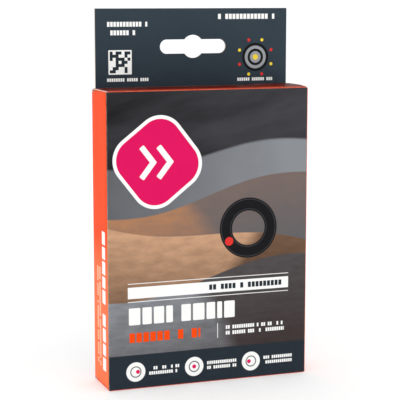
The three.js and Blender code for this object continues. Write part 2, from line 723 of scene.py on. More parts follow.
@dataclass(frozen=True)
class PrintedBoard:
    """Coated board with ink on it: satin, slightly mottled, with fibres that show at its creases.

    Attributes:
        name: Name of the material.
        smoothest: Roughness of the varnish where it is smoothest.
        roughest: Its roughness where it is roughest.
        gloss: Strength of its reflections.
        mottle: How much the ink's tone varies.
        sizes: The carton's sizes.
        TONE: Slow changes of the ink's tone.
        INK: Fine changes of it.
        INK_SHARE: Share of the fine ones.
        WAVES: The board's waves.
        WAVE_HEIGHT: How high they are.
        FIBRES: The fibres under the varnish.
        FIBRE_HEIGHT: How high they are.
        RELIEF: How strongly both show.
        VARNISH_INDEX: The varnish's index of refraction.
    """

    name: str
    smoothest: float = 0.41
    roughest: float = 0.52
    gloss: float = 0.05
    mottle: float = 0.035
    sizes: CartonSizes = field(default_factory=CartonSizes.from_frame)

    TONE = Grain(0.09, 4.0, 0.6)
    INK = Grain(2.6, 3.0, 0.6)
    INK_SHARE = 0.3
    WAVES = Grain(0.035, 2.0)
    WAVE_HEIGHT = 0.5 * MM
    FIBRES = Grain(5.0, 3.0, 0.65)
    FIBRE_HEIGHT = 0.012 * MM
    RELIEF = 0.35
    VARNISH_INDEX = 1.46

    def face(self, graph: Graph) -> Socket:
        """Place on the printed face, to the right and up, in millimetres."""
        across, _, up = graph.split(graph.place)
        return graph.join(across, up)

    def print_on(self, art: Artwork) -> None:
        """Lays the printed shapes. Plain orange has none."""

    def ground(self, graph: Graph, place: Socket) -> Value:
        """The colour under the artwork."""
        return Ink.ORANGE

    def wear_and_highlight(self, graph: Graph) -> Value:
        """Where the ink is rubbed off or a painted highlight lies, from nought to one."""
        return 0.0

    def material(self) -> Material:
        """Makes the material.

        Returns:
            The finished material.
        """
        graph = Graph(self.name)
        place = self.face(graph)
        art = Artwork(graph, place, self.ground(graph, place))
        self.print_on(art)
        grain = graph.noise(graph.place, self.INK)
        slow = graph.product(graph.noise(graph.place, self.TONE), 1 - self.INK_SHARE)
        shade = graph.math("ADD", slow, graph.product(grain, self.INK_SHARE))
        light = graph.vary(shade, 1 - self.mottle, 1 + self.mottle)
        toned = graph.vector("MULTIPLY", art.colour, graph.join(light, light, light))
        waves = graph.bump(graph.noise(graph.place, self.WAVES), self.WAVE_HEIGHT, self.RELIEF)
        fibres = graph.noise(graph.place, self.FIBRES)
        return graph.finish(
            # Board colour through rubbed ink, and along the creases a painted highlight.
            colour=graph.mix(self.wear_and_highlight(graph), toned, Ink.BOARD),
            roughness=graph.vary(grain, self.smoothest, self.roughest),
            gloss=self.gloss,
            index=self.VARNISH_INDEX,
            relief=graph.bump(fibres, self.FIBRE_HEIGHT, self.RELIEF, waves),
        )


@dataclass(frozen=True)
class CreasedBoard(PrintedBoard):
    """Printed board whose ink is cracked and rubbed where it is creased, with a painted highlight
    all along the creases.

    Attributes:
        band: How far from a crease the rubbed ink and painted highlight are seen, in millimetres.
        core: How far from it they are at their strongest.
        least: Share of painted highlight in the sound stretches of a crease, where no ink is lost.
        most: Ink lost in the cracked stretches, over the painted highlight.
        STREAKS: The streaks of rubbed ink.
        STRETCH: How they are drawn out upwards.
        CRACKED: From where to where in them the ink cracks.
    """

    band: float = 0.42
    core: float = 0.22
    least: float = 0.12
    most: float = 0.6

    STREAKS = Grain(1.1, 4.0, 0.7)
    STRETCH = (1.0, 1.0, 0.35)
    CRACKED = (0.4, 0.68)

    def wear_and_highlight(self, graph: Graph) -> Value:
        """Ink lost along the creases, in broken strokes, over a thin painted highlight that runs all
        along them.

        Args:
            graph: The material that is being made.

        Returns:
            The socket with the share of lost ink and painted highlight.
        """
        sizes = self.sizes
        half = sizes.height / MM / 2
        across, deep, up = graph.split(graph.place)
        middle = graph.math("SUBTRACT", up, half)
        to_side, to_face, to_end = (
            graph.math("SUBTRACT", reach, graph.math("ABSOLUTE", place))
            for reach, place in (
                (sizes.half_width / MM, across),
                (sizes.back / MM, deep),
                (half, middle),
            )
        )
        upright = graph.math("MAXIMUM", to_side, to_face)
        level = graph.math("MAXIMUM", graph.math("ABSOLUTE", to_end), to_face)
        near = graph.ramp(graph.math("MINIMUM", upright, level), self.band, self.core)
        drawn_out = graph.vector("MULTIPLY", graph.place, self.STRETCH)
        streak = graph.noise(drawn_out, self.STREAKS)
        # Painted highlight: along the creases the board colour never falls below least, even where
        # no ink is lost; the cracked streaks rub more off.
        return graph.product(near, graph.ramp(streak, *self.CRACKED, self.least, self.most))


@dataclass(frozen=True)
class EndPrintAndShade(CreasedBoard):
    """The red-orange of the tuck ends and the level creases, with painted shade: some deep red
    everywhere, deepening to deep red towards the lid's back under the header.

    Attributes:
        depth: Share of painted shade, in deep red, everywhere on the ends; the bottom has just this.
        lid_front_shade: Share of it at the lid's front.
        front: Where the painted shade on the lid begins to deepen, along Y in millimetres.
        rear: Where the lid is in full painted shade, deep red all over.
        below: Where the lid's painted shade begins and is full, below the box's top.
    """

    depth: float = 0.3
    lid_front_shade: float = 0.45
    front: float = -11.6
    rear: float = -6.5
    below: Pair = (2.0, 1.0)

    def ground(self, graph: Graph, place: Socket) -> Value:
        """Orange with painted shade: deep red mixed in, deepening towards the lid's back under the
        header.

        Args:
            graph: The material that is being made.
            place: Place on the face in millimetres; not used.

        Returns:
            The socket with the colour.
        """
        _, deep, up = graph.split(graph.place)
        top = self.sizes.height / MM
        on_lid = graph.ramp(up, top - self.below[0], top - self.below[1])
        # Painted shade: the lid darkens towards the header behind it, and every end and level crease
        # gets some deep red.
        backwards = graph.ramp(deep, self.front, self.rear, self.lid_front_shade, 1.0)
        share = graph.math("MAXIMUM", graph.product(backwards, on_lid), self.depth)
        return graph.mix(share, Ink.ORANGE, Ink.DEEP_RED)


@dataclass(frozen=True)
class SidePrint(CreasedBoard):
    """The orange narrow side, lighter below, with upright blocks of print.

    Attributes:
        toward: 1 where the face's right-hand edge is the front, -1 where it is the back.
        lighten: Where the orange starts to grow lighter and where it is lightest.
        paleness: Share of light orange there.
        column: Middle of the column of blocks.
        width: Width of a block.
        blocks: Where each large block starts, and its length, in millimetres.
    """

    toward: int = 1
    lighten: Pair = (70.0, 52.0)
    paleness: float = 0.85
    column: float = 5.0
    width: float = 5.2
    blocks: tuple[Pair, ...] = (
        (8.0, 6.0),
        (15.0, 5.4),
        (21.4, 6.2),
        (28.6, 5.6),
        (39.0, 6.2),
        (46.2, 5.2),
        (52.4, 6.0),
        (59.4, 5.6),
        (66.0, 6.0),
    )

    def face(self, graph: Graph) -> Socket:
        """Place on the side, with the front of the box to the right."""
        _, deep, up = graph.split(graph.place)
        return graph.join(graph.product(deep, -float(self.toward)), up)

    def ground(self, graph: Graph, place: Socket) -> Value:
        """Orange that grows lighter in the lower half."""
        low = graph.ramp(graph.split(place)[1], *self.lighten, 0.0, self.paleness)
        return graph.mix(low, Ink.ORANGE, Ink.ORANGE_LIGHT)

    def print_on(self, art: Artwork) -> None:
        """A column of large blocks and two columns of small print.

        Args:
            art: The face's artwork.
        """
        for start, length in self.blocks:
            middle = (self.column, start + length / 2)
            art.lay(art.bar(middle, (self.width, length), BLOCK_CORNER), Ink.WHITE)
        graph = art.graph
        across, up, _ = graph.split(art.place)
        upright = Artwork(graph, graph.join(up, graph.product(across, -1.0)))
        art.lay(upright.lines((9.0, 0.4), (46.0, 5.4), 2, 1.15), Ink.CREAM)


@dataclass(frozen=True)
class Ridge:
    """A line that swings gently across a face. Lengths are in millimetres.

    Attributes:
        level: Its height at the middle of the face.
        slope: How much it rises to the right.
        swing: How far it swings up and down.
        wave: Length of that swing.
    """

    level: float
    slope: float
    swing: float
    wave: float

    def height(self, graph: Graph, across: Socket) -> Socket:
        """Height of the line.

        Args:
            graph: The material that is being made.
            across: Place to the right.

        Returns:
            The socket with the height there.
        """
        swung = graph.math("SINE", graph.math("DIVIDE", across, self.wave))
        level = graph.math("MULTIPLY_ADD", swung, self.swing, self.level)
        return graph.math("MULTIPLY_ADD", across, self.slope, level)


@dataclass(frozen=True)
class Dune:
    """One soft hill of sand in the printed picture, lit on one flank. Lengths are in millimetres.

    Attributes:
        ridge: Its outline.
        crest: Where the lit flank ends.
        lean: How far the crest runs to the right for each millimetre down.
        depth: How far down the light reaches.
        dark: Ink in the hollow and on the shaded flank.
        bright: Ink on the lit flank.
        SAG: How far the crest winds, and the length of its winding.
        FLANK: How the light fades across the crest: from where to where, and from what to what.
        HOLLOW: Light that is left where it no longer reaches down.
        RIPPLES: The ripples in the sand.
        STRETCH: How they are drawn out to the sides.
        RIPPLE_LIGHT: Their darkest and their brightest.
        OUTLINE: How sharp the ridge's line is.
    """

    ridge: Ridge
    crest: float
    lean: float
    depth: float
    dark: Ink
    bright: Ink

    SAG = (3.0, 11.0)
    FLANK = (-1.0, 7.0, 1.0, 0.25)
    HOLLOW = 0.1
    RIPPLES = Grain(0.32, 4.0, 0.6)
    STRETCH = (0.35, 1.0, 1.0)
    RIPPLE_LIGHT = (0.78, 1.12)
    OUTLINE = (-0.15, 0.25)

    def lay(self, graph: Graph, place: Socket, below: Value) -> Socket:
        """Prints the hill over the picture.

        Args:
            graph: The material that is being made.
            place: Place on the face in millimetres.
            below: The picture so far.

        Returns:
            The picture with the hill.
        """
        across, up, _ = graph.split(place)
        under = graph.math("SUBTRACT", self.ridge.height(graph, across), up)
        winding, wave = self.SAG
        bend = graph.math("SINE", graph.math("DIVIDE", under, wave))
        edge = graph.math("MULTIPLY_ADD", under, self.lean, graph.product(bend, winding))
        past = graph.math("SUBTRACT", graph.math("SUBTRACT", across, self.crest), edge)
        flank = graph.ramp(past, *self.FLANK)
        reach = graph.ramp(under, 0.0, self.depth, 1.0, self.HOLLOW)
        ripples = graph.noise(graph.vector("MULTIPLY", place, self.STRETCH), self.RIPPLES)
        light = graph.product(flank, reach, graph.vary(ripples, *self.RIPPLE_LIGHT))
        sand = graph.mix(light, self.dark, self.bright)
        return graph.mix(graph.ramp(under, *self.OUTLINE), below, sand)


DUNES = (
    Dune(Ridge(87.0, 0.16, 3.5, 17.0), -14.0, 0.5, 34.0, Ink.BACKDROP_DARK, Ink.TAN),
    Dune(Ridge(69.0, -0.2, 5.0, 23.0), 20.0, -0.9, 46.0, Ink.UMBER, Ink.TAN_LIGHT),
    Dune(Ridge(49.0, 0.1, 5.0, 21.0), -12.0, 0.55, 60.0, Ink.UMBER, Ink.BACKDROP_LIGHT),
)


@dataclass(frozen=True)
class FrontPrint(CreasedBoard):
    """The front's printed picture, dunes under a dark sky, with an emblem, bars and small print.

    Attributes:
        dunes: The hills, from the farthest to the nearest.
        sky: Lower edge of the dark sky.
        ring_centre: Middle of the black ring, in millimetres.
        ring_radius: Radius of its middle line.
        ring_width: Its width.
        grooves: Radii of the fine lines on it.
        ring_spot: Middle of its red spot, from its own middle.
        emblem_centre: Middle of the rounded square.
        emblem_turn: How far the square is turned, in degrees.
        emblem_layers: Width, corner radius and ink of the square's edge and of the square.
        chevrons: Where the chevrons' legs are, from the square's middle.
        leg_rise: How far a leg's middle is above the middle line.
        leg_size: Length and width of a leg.
        leg_turn: How far a leg is turned, in degrees.
        rules: Level and height of each bar above the heading.
        headings: Where each block of the heading starts, and its width.
        heading_level: Height of the blocks' middle.
        heading_height: Height of a block.
        spots: Where the footer's spots are.
        spot_level: Height of their middle.
        HAZE: The haze's clouds.
        HAZE_REACH: How far they move its tones sideways.
        HAZE_SIDES: From where to where it grows lighter.
        FOLDS: The sky's folds.
        FOLD_CENTRE: What they are turned about.
        FOLD_TURN: How far they are turned, in degrees.
        FOLD_STRETCH: How they are drawn out.
        FOLD_LIGHT: How much lighter a fold is.
        SKY_SIDES: How the sky grows lighter to the right: from where to where, and how much.
        SKY_BLUR: How soft the sky's lower edge is.
    """

    dunes: tuple[Dune, ...] = DUNES
    sky: Ridge = Ridge(105.0, 0.06, 4.0, 19.0)
    ring_centre: Pair = (19.0, 71.0)
    ring_radius: float = 11.0
    ring_width: float = 6.0
    grooves: Pair = (13.2, 8.8)
    ring_spot: Pair = (-9.4, -5.8)
    emblem_centre: Pair = (-24.6, 103.0)
    emblem_turn: float = 38.0
    emblem_layers: tuple[tuple[float, float, Ink], ...] = (
        (36.5, 11.5, Ink.WHITE),
        (33.3, 10.0, Ink.MAGENTA),
    )
    chevrons: Pair = (-4.5, 3.5)
    leg_rise: float = 3.1
    leg_size: Pair = (10.2, 2.6)
    leg_turn: float = -52.0
    rules: tuple[Pair, ...] = ((48.6, 0.3), (44.4, 5.2), (40.3, 0.3))
    headings: tuple[Pair, ...] = (
        (-38.6, 5.4),
        (-32.2, 4.4),
        (-26.8, 4.9),
        (-20.9, 3.2),
        (-13.6, 4.6),
        (-8.0, 5.6),
        (-1.4, 4.2),
        (3.8, 2.4),
        (7.2, 5.2),
    )
    heading_level: float = 33.6
    heading_height: float = 7.8
    spots: tuple[float, ...] = (-35.5, -7.5, 20.5)
    spot_level: float = 8.0

    HAZE = Grain(0.03, 2.0)
    HAZE_REACH = 40.0
    HAZE_SIDES = (-30.0, 60.0)
    FOLDS = Grain(0.09)
    FOLD_CENTRE = (0.0, 120.0)
    FOLD_TURN = 14.0
    FOLD_STRETCH = (0.25, 1.0, 1.0)
    FOLD_LIGHT = 0.6
    SKY_SIDES = (-40.0, 40.0, 0.0, 0.5)
    SKY_BLUR = 1.2

    def ground(self, graph: Graph, place: Socket) -> Value:
        """A grey haze over the dunes, and a dark sky with a soft edge over the haze.

        Args:
            graph: The material that is being made.
            place: Place on the face in millimetres.

        Returns:
            The socket with the picture.
        """
        across, up, _ = graph.split(place)
        haze = graph.math("MULTIPLY_ADD", graph.noise(place, self.HAZE), self.HAZE_REACH, across)
        side = graph.ramp(haze, *self.HAZE_SIDES)
        picture = graph.mix(side, Ink.BACKDROP_DARK, Ink.BACKDROP_LIGHT)
        for dune in self.dunes:
            picture = dune.lay(graph, place, picture)
        turned = graph.turned(place, self.FOLD_CENTRE, self.FOLD_TURN)
        folds = graph.noise(graph.vector("MULTIPLY", turned, self.FOLD_STRETCH), self.FOLDS)
        right = graph.ramp(across, *self.SKY_SIDES)
        lighter = graph.math("ADD", graph.vary(folds, 0.0, self.FOLD_LIGHT), right)
        sky = graph.mix(lighter, Ink.CHARCOAL, Ink.CHARCOAL_LIGHT)
        edge = self.sky.height(graph, across)
        full = graph.math("ADD", edge, self.SKY_BLUR)
        return graph.mix(graph.ramp(up, edge, full), picture, sky)

    def print_on(self, art: Artwork) -> None:
        """Lays the ring, the emblem, the bars and the footer over the picture.

        Args:
            art: The face's artwork.
        """
        self._ring(art)
        self._emblem(art)
        self._title(art)
        self._footer(art)

    def _ring(self, art: Artwork) -> None:
        """A broad black ring with a small red spot on it.

        Args:
            art: The face's artwork.
        """
        centre = self.ring_centre
        band = art.ring(centre, self.ring_radius, self.ring_width, 2 * art.EDGE)
        art.lay(band, Ink.CHARCOAL)
        for groove in self.grooves:
            art.lay(art.ring(centre, groove, 0.25), Ink.CHARCOAL_LIGHT)
        spot = (centre[0] + self.ring_spot[0], centre[1] + self.ring_spot[1])
        art.lay(art.disc(spot, 2.0), Ink.RED)

    def _emblem(self, art: Artwork) -> None:
        """A magenta rounded square, edged in white, with two chevrons.

        Args:
            art: The face's artwork.
        """
        for width, corner, ink in self.emblem_layers:
            art.lay(art.bar(self.emblem_centre, (width, width), corner, self.emblem_turn), ink)
        graph = art.graph
        across, up, _ = graph.split(art.seen_from(self.emblem_centre))
        halved = Artwork(graph, graph.join(across, graph.math("ABSOLUTE", up)))
        for shift in self.chevrons:
            middle = (shift, self.leg_rise)
            leg = halved.bar(middle, self.leg_size, BLOCK_CORNER, self.leg_turn)
            art.lay(leg, Ink.WHITE)

    def _title(self, art: Artwork) -> None:
        """Blocks and bars that stand for the headings.

        Args:
            art: The face's artwork.
        """
        for level, height in self.rules:
            art.lay(art.bar((0.0, level), (BREADTH, height)), Ink.WHITE)
        art.lay(art.lines((-2.0, 43.2), (38.0, 2.5), 1, 1.9), Ink.SLATE)
        for start, width in self.headings:
            block = (start + width / 2, self.heading_level)
            art.lay(art.bar(block, (width, self.heading_height), BLOCK_CORNER), Ink.WHITE)
        art.lay(art.lines((-38.4, 21.6), (34.0, 4.4), 1, 3.3), Ink.ORANGE)
        art.lay(art.bar((4.0, 23.9), (0.3, 7.0)), Ink.WHITE)
        art.lay(art.lines((8.0, 21.6), (29.0, 4.4), 2, 1.1), Ink.WHITE)

    def _footer(self, art: Artwork) -> None:
        """A slate strip with three spots, each beside two lines of small print.

        Args:
            art: The face's artwork.
        """
        art.lay(art.bar(*FOOTER), Ink.SLATE)
        for index, at in enumerate(self.spots):
            spot = (at, self.spot_level)
            art.lay(art.disc(spot, 4.5), Ink.WHITE)
            art.lay(art.ring(spot, 2.4, 0.45), Ink.SLATE)
            art.lay(art.disc((at + 1.0 - index, self.spot_level), 0.95), Ink.MAGENTA)
            art.lay(art.lines((at + 6.3, 6.1), (14.4, 3.8), 2, 1.05), Ink.WHITE)


@dataclass(frozen=True)
class HeaderPrint(PrintedBoard):
    """The slate header with small print, a panel of strewn squares and a nested motif.

    Attributes:
        target: Radius and ink of each nested disc of the motif, in millimetres.
        small_print: Each line's left end, height above the box, width, height and letter.
        panel: Middle of the panel, with its height above the box.
        panel_width: Width of the panel.
        cell: Width of a square on it.
        cells: How many squares are side by side.
        motif: Middle of the motif, with its height above the box.
        ring: Distance of the motif's spots from its middle.
        spots: How many spots there are.
        spot_radius: Radius of a spot.
        UPWARDS: How far up the slate grows lighter, and its share of light slate at both ends.
        SIDEWAYS: The same to the right: from where to where, and the shares.
    """

    target: tuple[tuple[float, Ink], ...] = (
        (6.6, Ink.CHARCOAL),
        (5.3, Ink.GREY),
        (3.9, Ink.CHARCOAL),
        (2.7, Ink.GREY),
        (1.3, Ink.YELLOW),
    )
    small_print: tuple[tuple[float, ...], ...] = (
        (-41.0, 27.4, 19.0, 2.2, 1.5),
        (-41.0, 23.6, 13.5, 2.2, 1.5),
        (10.5, 30.6, 30.0, 2.4, 1.8),
        (-41.2, 2.7, 19.6, 1.5, 1.05),
        (22.0, 1.9, 18.6, 1.5, 1.05),
    )
    panel: Pair = (-35.0, 11.4)
    panel_width: float = 11.0
    cell: float = 1.4
    cells: int = 7
    motif: Pair = (31.0, 12.9)
    ring: float = 8.6
    spots: int = 8
    spot_radius: float = 0.75

    UPWARDS = (36.0, 0.4, 1.0)
    SIDEWAYS = (10.0, 46.0, 0.0, 0.45)

    def ground(self, graph: Graph, place: Socket) -> Value:
        """Slate, a little lighter towards the top and the right.

        Args:
            graph: The material that is being made.
            place: Place on the face in millimetres.

        Returns:
            The socket with the colour.
        """
        across, up, _ = graph.split(place)
        base = self.sizes.height / MM
        rise, least, most = self.UPWARDS
        upwards = graph.ramp(up, base, base + rise, least, most)
        share = graph.math("ADD", upwards, graph.ramp(across, *self.SIDEWAYS))
        return graph.mix(share, Ink.SLATE, Ink.SLATE_LIGHT)

    def print_on(self, art: Artwork) -> None:
        """Lays small print in the upper corners and a motif in each lower one.

        Args:
            art: The face's artwork.
        """
        base = self.sizes.height / MM
        for left, low, width, height, letter in self.small_print:
            art.lay(art.lines((left, base + low), (width, height), 1, letter), Ink.WHITE)
        self._panel(art, self.panel[0], base + self.panel[1])
        self._motif(art, self.motif[0], base + self.motif[1])

    def _panel(self, art: Artwork, across: float, up: float) -> None:
        """A white panel with dark squares strewn over it.

        Args:
            art: The face's artwork.
            across: Its middle, to the right.
            up: Its middle, upwards.
        """
        art.lay(art.bar((across, up), (self.panel_width, self.panel_width), 0.3), Ink.WHITE)
        patch = self.cell * self.cells
        corner = (across - patch / 2, up - patch / 2)
        art.lay(art.scatter(corner, (patch, patch), self.cell), Ink.SLATE)

    def _motif(self, art: Artwork, across: float, up: float) -> None:
        """Nested discs with a ring of small spots round them.

        Args:
            art: The face's artwork.
            across: Their middle, to the right.
            up: Their middle, upwards.
        """
        for radius, ink in self.target:
            art.lay(art.disc((across, up), radius), ink)
        for turn in range(self.spots):
            angle = math.tau * (turn + 0.5) / self.spots
            spot = (across + self.ring * math.cos(angle), up + self.ring * math.sin(angle))
            art.lay(art.disc(spot, self.spot_radius), Ink.YELLOW if turn % 2 else Ink.RED)


@dataclass(frozen=True)
class BackPrint(CreasedBoard):
    """The plain back: slate, with an empty white panel and lines of small print.

    Attributes:
        below: Where the creases' rubbed ink and painted highlight are full and where they have
            faded, below the box's top.
        levels: Where each group of small print starts.
        group: Width and height of a group.
        rows: How many rows it has.
        rule_rise: How far its rule is above its start.
        panel: Middle of the bare panel, and its size.
    """

    below: Pair = (2.0, 1.0)
    levels: tuple[float, ...] = (96.0, 66.0, 36.0)
    group: Pair = (50.0, 18.0)
    rows: int = 7
    rule_rise: float = 22.0
    panel: tuple[Pair, Pair] = ((27.0, 44.0), (24.0, 17.0))

    def face(self, graph: Graph) -> Socket:
        """Place on the back as it is seen from behind."""
        across, _, up = graph.split(graph.place)
        return graph.join(graph.product(across, -1.0), up)

    def ground(self, graph: Graph, place: Socket) -> Value:
        """Slate all over."""
        return Ink.SLATE

    def wear_and_highlight(self, graph: Graph) -> Value:
        """Ink lost and a painted highlight along the creases, and neither where the back runs on
        into the header.

        Args:
            graph: The material that is being made.

        Returns:
            The socket with the share of lost ink and painted highlight.
        """
        _, _, up = graph.split(graph.place)
        top = self.sizes.height / MM
        below = graph.ramp(up, top - self.below[1], top - self.below[0])
        return graph.product(super().wear_and_highlight(graph), below)

    def print_on(self, art: Artwork) -> None:
        """Lays blocks of small print, thin rules and a bare panel.

        Args:
            art: The face's artwork.
        """
        art.lay(art.bar(*FOOTER), Ink.ORANGE)
        for low in self.levels:
            art.lay(art.bar((0.0, low + self.rule_rise), (BREADTH, 0.3)), Ink.WHITE)
            art.lay(art.lines((-BREADTH / 2, low), self.group, self.rows, 1.05), Ink.WHITE)
        art.lay(art.bar(*self.panel, 0.6), Ink.WHITE)


@dataclass(frozen=True)
class PlainBoard:
    """The uncoated inside of the board, off-white with darker fibres.

    Attributes:
        name: Name of the material.
        CLOUDS: Slow changes of its tone.
        STRANDS: Its fibres.
        STRETCH: How they are drawn out upwards.
        FLECKS: From where to where in them the flecks are, and how dark they are.
    """

    name: str = "plain_board"

    CLOUDS = Grain(0.25, 4.0, 0.6)
    STRANDS = Grain(3.2, 5.0, 0.7)
    STRETCH = (1.0, 1.0, 0.25)
    FLECKS = (0.6, 0.75, 0.0, 0.4)

    def material(self) -> Material:
        """Makes the material.

        Returns:
            The finished material.
        """
        graph = Graph(self.name)
        drawn_out = graph.vector("MULTIPLY", graph.place, self.STRETCH)
        strands = graph.noise(drawn_out, self.STRANDS)
        cloud = graph.vary(graph.noise(graph.place, self.CLOUDS), 0.0, 0.5)
        tone = graph.mix(cloud, Ink.BOARD, Ink.BOARD_GREY)
        return graph.finish(
            colour=graph.mix(graph.ramp(strands, *self.FLECKS), tone, Ink.GREY),
            roughness=graph.vary(strands, 0.82, 0.95),
            gloss=0.2,
            relief=graph.bump(strands, FUZZ_HEIGHT, 0.5),
        )


@dataclass(frozen=True)
class CutEdge:
    """The white core that shows where the board is cut, with the faint line of its plies, and orange
    laid over it: ink run over the edge, and painted shade.

    Attributes:
        name: Name of the material.
        ply_line: Place along Y of a glue line between two plies, in millimetres.
        ink_and_shade: How much orange is laid over the edge: ink run over it, and painted shade,
            which is most of it on the bottom end's edges.
        FUZZ: The torn fibres.
        TONE: From where to where in them the core darkens, and how much.
        GLUE: From where to where beside the glue line it shows, and how much.
        BLOTS: The blots of the orange.
        BLOT_SPREAD: From where to where in them the orange grows.
        THINNEST: Share of the orange in its thinnest places.
    """

    name: str = "cut_edge"
    ply_line: float | None = None
    ink_and_shade: float = 0.0

    FUZZ = Grain(6.0, 4.0, 0.7)
    TONE = (0.35, 0.75, 0.0, 0.7)
    GLUE = (0.07, 0.03, 0.0, 0.75)
    BLOTS = Grain(0.5)
    BLOT_SPREAD = (0.3, 0.6)
    THINNEST = 0.6

    def material(self) -> Material:
        """Makes the material.

        Returns:
            The finished material.
        """
        graph = Graph(self.name)
        fuzz = graph.noise(graph.place, self.FUZZ)
        core = graph.mix(graph.ramp(fuzz, *self.TONE), Ink.BOARD, Ink.BOARD_GREY)
        if self.ply_line is not None:
            _, deep, _ = graph.split(graph.place)
            off = graph.math("ABSOLUTE", graph.math("SUBTRACT", deep, self.ply_line))
            core = graph.mix(graph.ramp(off, *self.GLUE), core, Ink.GREY)
        # Orange over the white core: ink that has run over the edge, and painted shade that keeps
        # the edge from showing bright.
        if self.ink_and_shade:
            blots = graph.noise(graph.place, self.BLOTS)
            thinnest = self.THINNEST * self.ink_and_shade
            inked = graph.ramp(blots, *self.BLOT_SPREAD, thinnest, self.ink_and_shade)
            core = graph.mix(inked, core, Ink.ORANGE)
        return graph.finish(
            colour=core,
            roughness=graph.vary(fuzz, 0.8, 0.95),
            gloss=0.15,
            relief=graph.bump(fuzz, FUZZ_HEIGHT, 0.5),
        )


@dataclass
class Finishes:
    """Every finish of the carton, made once."""

    front: Material = field(default_factory=FrontPrint("front_print").material)
    left: Material = field(default_factory=SidePrint("left_print").material)
    right: Material = field(default_factory=SidePrint("right_print", toward=-1).material)
    orange: Material = field(default_factory=PrintedBoard("orange_print").material)
    # Orange of the ends, with painted shade in deep red.
    end: Material = field(default_factory=EndPrintAndShade("end_print").material)
    header: Material = field(default_factory=HeaderPrint("header_print").material)
    back: Material = field(default_factory=BackPrint("back_print").material)
    plain: Material = field(default_factory=PlainBoard().material)
    # Cut edges with a little orange: ink run over them, and painted shade.
    edge: Material = field(default_factory=CutEdge(ink_and_shade=0.3).material)
    # The bottom end's cut edges, deep in orange: mostly painted shade of edges that lie in shadow,
    # and ink run over them.
    inked_edge: Material = field(default_factory=CutEdge("inked_edge", ink_and_shade=0.9).material)


def spread(low: float, high: float, count: int) -> list[float]:
    """Places evenly spread between two ends, which are left out."""
    return [low + (high - low) * (step + 1) / (count + 1) for step in range(count)]


